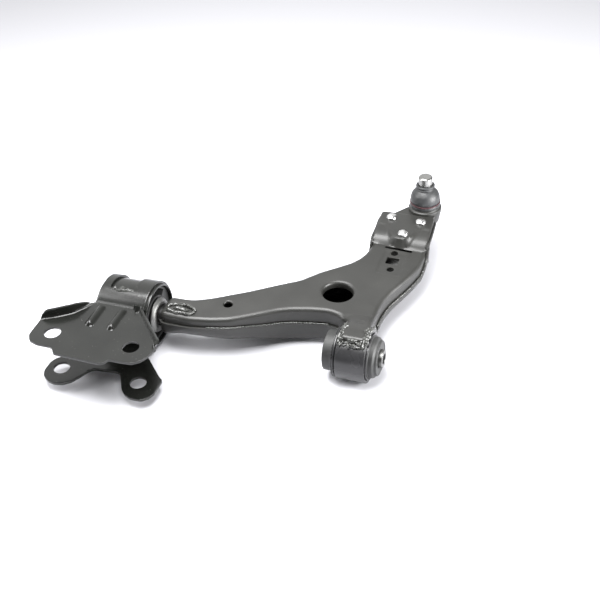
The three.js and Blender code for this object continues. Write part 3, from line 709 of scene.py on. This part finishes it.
rubber_flat, rubber_faces = flat_sheet(
    ring_of(0, 0, 40.5, 96), [ring_of(0, 0, 19.2, 64), kidney(35, 145), kidney(215, 325)], 3.2)
rubber_end = np.column_stack([np.full(len(rubber_flat), -284.0), rubber_flat + [REAR[1], REAR[2]]])
rear_rubber = piece("rear_bush_rubber", [(rubber_end, rubber_faces)], rubber, thickness=68, edge=0.8,
                    facing=(1, 0, 0))
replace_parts(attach(rear_rubber, "rear_bracket"), "rear_bush_rubber")
satin_steel = finish("satin_turned_steel", (0.17, 0.17, 0.165), 0.45, metallic=1.0, mottle=0.15,
                     mottle_size=60.0, grain=0.15, grain_size=600.0)
core = piece("rear_bush_core", [turned(
    [(14.8, -353), (19, -353), (19, -282), (25, -281.4), (25.4, -280), (22.5, -276.5), (19.5, -275),
     (14.8, -275)], REAR, "x", 0.5)], satin_steel)
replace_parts(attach(core, "arm"), "rear_bush_core")

# ---- rear bracket ----
# Two 3.5 mm plates, each bent at one end to half a hoop, that clamp the bush between them and are
# welded at the back. Each has two ears for the bolts; the upper one has ribs and turned edges.
PLATE = 3.5
HOOP = {"y": REAR[1], "z": REAR[2], "r": 47}
PLATE_REACH = 33
CREASE = HOOP["y"] - np.sqrt(HOOP["r"] ** 2 - PLATE_REACH ** 2)
crease_turn = np.pi - np.arcsin(PLATE_REACH / HOOP["r"])
hoop_turn = np.linspace(crease_turn, np.radians(2), 40)
section = softened(np.vstack([
    [(-200, PLATE_REACH)],
    np.column_stack([HOOP["y"] + HOOP["r"] * np.cos(hoop_turn), HOOP["r"] * np.sin(hoop_turn)]),
]), 2.2, closed=False, turn=0.02, longest=2.0)
section_way = np.concatenate([[0], np.cumsum(np.linalg.norm(np.diff(section, axis=0), axis=1))])
section_way += -200 - CREASE


def bent(flat, up):
    """A flat sheet bent to the bracket's section. Its second number is the way from the crease:
    below zero it is the plate, above zero it goes round the hoop. up is 1, or -1 for the lower half."""
    y = np.interp(flat[:, 1], section_way, section[:, 0])
    z = np.interp(flat[:, 1], section_way, section[:, 1])
    slope_y, slope_z = np.gradient(section[:, 0], section_way), np.gradient(section[:, 1], section_way)
    normal_y = -np.interp(flat[:, 1], section_way, slope_z)
    normal_z = np.interp(flat[:, 1], section_way, slope_y)
    return np.column_stack([flat[:, 0], y, HOOP["z"] + up * z]), np.column_stack(
        [np.zeros(len(flat)), normal_y, up * normal_z])


def turn_edge(points, line, radius=3.0, limit=np.pi / 2):
    """Sheet beyond a fold line, on its left, turned up: the way past the line goes round an arc of
    the bend radius, up to the limit angle, and then straight on. points are x, y, z of a level sheet."""
    flat = points[:, :2]
    a, run = line[:-1], np.diff(line, axis=0)
    share = ((flat[:, None] - a) * run).sum(axis=2) / (run ** 2).sum(axis=1)
    foot = a + np.clip(share, 0, 1)[..., None] * run
    away = flat[:, None] - foot
    far = np.linalg.norm(away, axis=2)
    pick = np.arange(len(flat)), far.argmin(axis=1)
    side = run[pick[1], 0] * away[pick][:, 1] - run[pick[1], 1] * away[pick][:, 0]
    way = np.where(side > 0, far[pick], 0)
    angle = np.minimum(way / radius, limit)
    rest = np.maximum(way - radius * limit, 0)
    out = radius * np.sin(angle) + rest * np.cos(limit)
    up = radius * (1 - np.cos(angle)) + rest * np.sin(limit)
    direction = away[pick] / np.maximum(far[pick], 1e-9)[:, None]
    moved = np.where(way[:, None] > 0, foot[pick] + direction * out[:, None], flat)
    return np.column_stack([moved, points[:, 2] + up])


def hoop_way(degrees):
    """The way from the crease to an angle on the hoop."""
    return HOOP["r"] * (crease_turn - np.radians(degrees))


BOLT_X, BOLT_Y, BOLT_R = (-381, -265.5), -110.5, 11.3
RIB_X, RIB_Y, RIB_HIGH, RIB_HALF = (-341, -309), (-44, -12), 5.4, 6.4
LEFT, RIGHT = -354, -283
END = hoop_way(2)
upper_plate = np.array([
    (RIGHT, END), (LEFT, END), (LEFT, 4), (-357, -3), (-368, -10), (-388, -25.5), (-408, -39), (-411, -48),
    (-410, -85.5), (-404, -96), (-391, -100.5), (-371, -100.5), (-365, -103.5), (-360, -111.5),
    (-291, -114), (-286, -110.5), (-283, -103.5), (-266, -103.5), (-251, -102.5), (-242, -95.5),
    (-237, -86), (-231.5, -68), (-230.5, -58), (-275, -11), (-281, -4), (RIGHT, 4),
])
upper_ring = softened(upper_plate, 2.0, longest=3.0)
window_ring = softened([(-342, hoop_way(105)), (-306, hoop_way(105)), (-306, hoop_way(20)),
                        (-342, hoop_way(20))], 1.2, longest=3.0)
bolt_rings = [ring_of(x, BOLT_Y - CREASE, BOLT_R, 56) for x in BOLT_X]
plate_flat, plate_faces = flat_sheet(upper_ring, [window_ring, *bolt_rings], 1.5)


def rib_height(flat):
    """Height of the two pressed ribs: a cosine hump across each one, over the distance to its line."""
    height = np.zeros(len(flat))
    past = flat[:, 1] - np.clip(flat[:, 1], *RIB_Y)
    for x in RIB_X:
        far = np.hypot(flat[:, 0] - x, past)
        height += RIB_HIGH * np.cos(np.pi / 2 * np.clip(far / RIB_HALF, 0, 1)) ** 0.9
    return height


sheet, away = bent(plate_flat, 1)
sheet += away * rib_height(plate_flat)[:, None]
back_fold = softened([(-353, 2), (-360, -14), (-372, -32), (-390, -45), (-420, -60)], 3.0,
                     closed=False, longest=3.0) + [0, CREASE]
side_fold = np.array([(-288.0, -46.8), (-241.0, -99.5)])
level = plate_flat[:, 1] < 1
turned_up = turn_edge(sheet[level], back_fold[::-1])
sheet[level] = turn_edge(turned_up, side_fold, radius=5.0, limit=1.0)
bracket_upper = piece("bracket_upper", [(sheet, plate_faces)], bracket_coat, thickness=PLATE, edge=0.5,
                      facing=(0, 0, 1))
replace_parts(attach(bracket_upper, "rear_bracket"), "bracket_upper")

lower_plate = np.array([
    (-354, 0), (-354, -23), (-386, -49), (-398, -58), (-402, -67), (-402, -84), (-398, -94), (-388, -102),
    (-377, -105), (-364, -102), (-355, -95), (-348, -82), (-342, -69), (-335, -64), (-302, -61.5),
    (-296, -66), (-282, -91), (-274, -99), (-264, -104), (-248, -104), (-240, -97), (-236, -87),
    (-236, -61), (-243, -56), (-283, -15), (-283, 0), (RIGHT, END), (LEFT, END),
])
lower_ring = softened(lower_plate, 2.0, longest=3.0)
lower_flat, lower_faces = flat_sheet(lower_ring, bolt_rings, 2.6)
sheet, away = bent(lower_flat, -1)
bracket_lower = piece("bracket_lower", [(sheet, lower_faces[:, ::-1])], bracket_coat, thickness=PLATE,
                      edge=0.5, facing=(0, 0, -1))
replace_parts(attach(bracket_lower, "rear_bracket"), "bracket_lower")

along = np.linspace(LEFT + 4, RIGHT - 4, 60)
back_weld = piece("bracket_back_weld", [
    bead(np.column_stack([along, np.full(60, 42.6), np.full(60, REAR[2])]), 2.6, 31, rough=0.4)], weld_coat)
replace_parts(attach(back_weld, "rear_bracket"), "bracket_back_weld")
along = np.linspace(-339, -305, 40)
crumb_turn = np.radians(104 + 1.5 * np.sin(along))
sleeve_weld = piece("sleeve_weld", [
    bead(np.column_stack([along, REAR[1] + 45.4 * np.cos(crumb_turn),
                          REAR[2] + 45.4 * np.sin(crumb_turn)]), 2.2, 32, rough=1.0, ripple=1.7),
    bead(np.column_stack([along[8:34], -6.6 + 45.6 * np.cos(crumb_turn[8:34]),
                          46.6 + 45.6 * np.sin(crumb_turn[8:34])]), 1.8, 33, rough=1.0, ripple=1.5),
], weld_coat)
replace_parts(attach(sleeve_weld, "rear_bracket"), "sleeve_weld")

# ---- ball joint housing ----
# A forged steel cup whose flat flange lies between the two sheets of the arm's pad, riveted through
# both, and closed below by a rolled-in steel disc.
BALL = (21, 315, 0)
RIVETS = [(-20, 274), (25, 271.5), (7, 236)]
cup = piece("ball_joint_housing", [turned(
    [(18.4, 46), (19.4, 46), (21.5, 50), (23, 58), (24.6, 66), (24.6, 72), (22.3, 73.4), (22.3, 75.5),
     (15.4, 75.5), (13.8, 69.4), (18.4, 66.4)], BALL, "z", 0.6)], arm_coat)
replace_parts(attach(cup, "arm"), "ball_joint_housing")


def lobes(circles, count=60):
    """The tight outline round several circles: the circles' points, and of those their convex hull."""
    cloud = np.vstack([ring_of(x, y, r, count) for x, y, r in circles])
    order = geometry.convex_hull_2d([Vector(p) for p in cloud])
    ring = cloud[order]
    area = np.sum(ring[:, 0] * np.roll(ring[:, 1], -1) - np.roll(ring[:, 0], -1) * ring[:, 1])
    return ring if area > 0 else ring[::-1]


flange_circles = [(x, y, 6.4 if y < 250 else 12) for x, y in RIVETS] + [(BALL[0], BALL[1], 20)]
flange_ring = softened(lobes(flange_circles), 0.5, longest=3.0)
flange_flat, flange_faces = flat_sheet(flange_ring, [ring_of(BALL[0], BALL[1], 19.4, 64)], 3.0)
flange = piece("ball_joint_flange", [
    (np.column_stack([flange_flat, np.full(len(flange_flat), 67.0)]), flange_faces)],
    arm_coat, thickness=3.9, edge=0.7, facing=(0, 0, 1))
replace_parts(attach(flange, "arm"), "ball_joint_housing")

cap = piece("ball_joint_cap", [turned(
    [(0, 46.4), (14, 46.4), (15.5, 47.2), (18.1, 47.2), (18.1, 49.2), (0, 49.2)], BALL, "z", 0.4,
    closed=False)], bare_steel)
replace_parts(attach(cap, "arm"), "ball_joint_cap")

nylon = finish("moulded_nylon", (0.78, 0.76, 0.68), 0.45, mottle=0.05, mottle_size=120.0, grain=0.1,
               grain_size=800.0)
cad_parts["ball_seat"].data.materials.clear()
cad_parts["ball_seat"].data.materials.append(nylon)

# ---- ball stud ----
# Turned steel: a ground ball in the seat, a thin neck inside the boot, and a straight bright end
# with a chamfer that the wheel knuckle clamps.
ball_turn = np.radians(np.linspace(-90, 55, 30))
stud_profile = [*zip(13 * np.cos(ball_turn), 63 + 13 * np.sin(ball_turn)),
                (7.5, 76), (8.3, 80), (10.5, 88), (10.5, 122.4), (8.9, 124), (0, 124)]
stud = piece("ball_stud", [turned(stud_profile, BALL, "z", 0.22, closed=False)], bare_steel)
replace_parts(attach(stud, "stud"), "ball_stud")

# ---- boot and its rings ----
# A moulded rubber bellows over the joint, greased inside. A dark red moulded ring grips it just above
# its foot on the housing, and a collar with two lips grips the stud.
boot_rubber = finish("boot_rubber", (0.024, 0.025, 0.026), 0.45, mottle=0.35, mottle_size=70.0,
                     grain=0.22, grain_size=600.0, dust=0.3)
boot = piece("boot", [turned(
    [(16.4, 75.8), (22.4, 75.8), (22.9, 78), (22.5, 80.2), (21.4, 80.6), (21.4, 82.8), (22.0, 83.4),
     (22.2, 86), (21.7, 91), (19.6, 96.5), (15.6, 101), (12.8, 103), (12.4, 104), (11, 104),
     (11, 102.6), (14.4, 99.6), (17.8, 95.4), (19.4, 91), (19.5, 86), (18, 80.4), (16.4, 78.2)],
    BALL, "z", 0.5)], boot_rubber)
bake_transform(boot)
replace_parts(boot, "boot")

ring_red = finish("dark_red_moulded_ring", (0.040, 0.013, 0.016), 0.45, mottle=0.25, mottle_size=150.0,
                  grain=0.2, grain_size=900.0)
lower_ring_piece = piece("boot_lower_ring", [turned(
    [(21.6, 80.7), (22.9, 80.7), (22.9, 82.7), (21.6, 82.7)], BALL, "z", 0.3)], ring_red)
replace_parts(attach(lower_ring_piece, "arm"), "boot_lower_ring")
upper_ring_piece = piece("boot_upper_ring", [turned(
    [(10.8, 103.8), (13.3, 103.8), (14.0, 104.8), (12.7, 106), (12.7, 107.2), (14.1, 108.2), (14.1, 109.6),
     (13.0, 110.8), (10.8, 110.8)], BALL, "z", 0.3)], boot_rubber)
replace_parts(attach(upper_ring_piece, "boot_collar"), "boot_upper_ring")

# ---- rivets ----
# Three zinc plated steel rivets, domed above and set below, hold the ball joint on the pad.
zinc = finish("bright_zinc_plate", (0.66, 0.66, 0.655), 0.26, metallic=1.0, mottle=0.10, mottle_size=120.0,
              grain=0.25, grain_size=700.0)
dome = np.radians(np.linspace(0, 90, 14))
for number, (x, y) in enumerate(RIVETS, start=1):
    profile = [(0, 55.4), (4.8, 55.4), (6.4, 57.9), (6.4, 59.4), (4.9, 59.4), (4.9, 71.1), (7.8, 71.1),
               *zip(7.8 * np.cos(dome), 71.5 + 4.9 * np.sin(dome))]
    rivet = piece(f"rivet_{number}", [turned(profile, (x, y, 0), "z", 0.2, sides=48, closed=False)], zinc)
    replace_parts(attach(rivet, "arm"), f"rivet_{number}")
